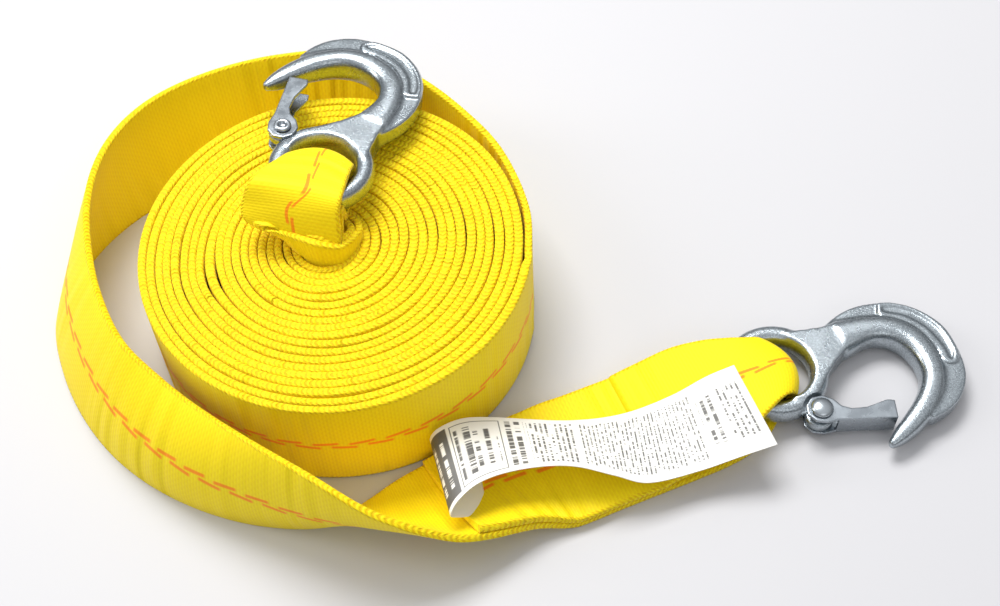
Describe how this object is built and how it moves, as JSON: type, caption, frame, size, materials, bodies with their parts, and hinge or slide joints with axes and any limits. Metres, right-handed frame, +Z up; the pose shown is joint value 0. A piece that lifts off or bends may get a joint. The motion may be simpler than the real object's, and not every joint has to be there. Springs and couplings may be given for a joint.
{
  "type": "tow strap with two safety hooks",
  "caption": "Yellow polyester tow strap rolled on edge into a flat roll, with a forged zinc-plated eye hook and spring latch sewn into each end and a white label on its tail.",
  "frame": {"origin": "on the floor, under the centre of the whole object's bounding box", "axes": "+Z up off the floor, +X from the roll towards the tail's hook, +Y to the back, where the roll's own hook points"},
  "size_m": [0.3647, 0.2256, 0.0762],
  "materials": {
    "webbing": "woven polyester webbing, matte, ribbed across, with a dashed red-orange tracer line",
    "label": "white coated satin ribbon with dull print",
    "forging": "bright zinc plate over a shot-blasted drop forging",
    "latch": "bright zinc-plated pressed sheet",
    "rivet": "bright zinc-plated rivet",
    "spring": "bare spring wire"
  },
  "bodies": {
    "strap": {"strap_roll": "webbing", "strap_tail": "webbing", "strap_lead": "webbing", "label": "label", "hook_1_forging": "forging", "hook_1_rivet": "rivet", "hook_2_forging": "forging", "hook_2_rivet": "rivet"},
    "latch_1": {"hook_1_latch": "latch", "hook_1_spring": "spring"},
    "latch_2": {"hook_2_latch": "latch", "hook_2_spring": "spring"}
  },
  "joints": [
    {"name": "latch_1_hinge", "type": "hinge", "parent": "strap", "child": "latch_1", "pos_m": [-0.08009, 0.04879, 0.0641], "axis": [-0.0984, -0.0819, -0.9918], "range_deg": [0, 42], "stiffness_Nm_per_rad": 0.04, "springref_deg": -28.65},
    {"name": "latch_2_hinge", "type": "hinge", "parent": "strap", "child": "latch_2", "pos_m": [0.12264, -0.06, 0.00809], "axis": [0.0349, 0, 0.9994], "range_deg": [0, 42], "stiffness_Nm_per_rad": 0.04, "springref_deg": -28.65}
  ]
}
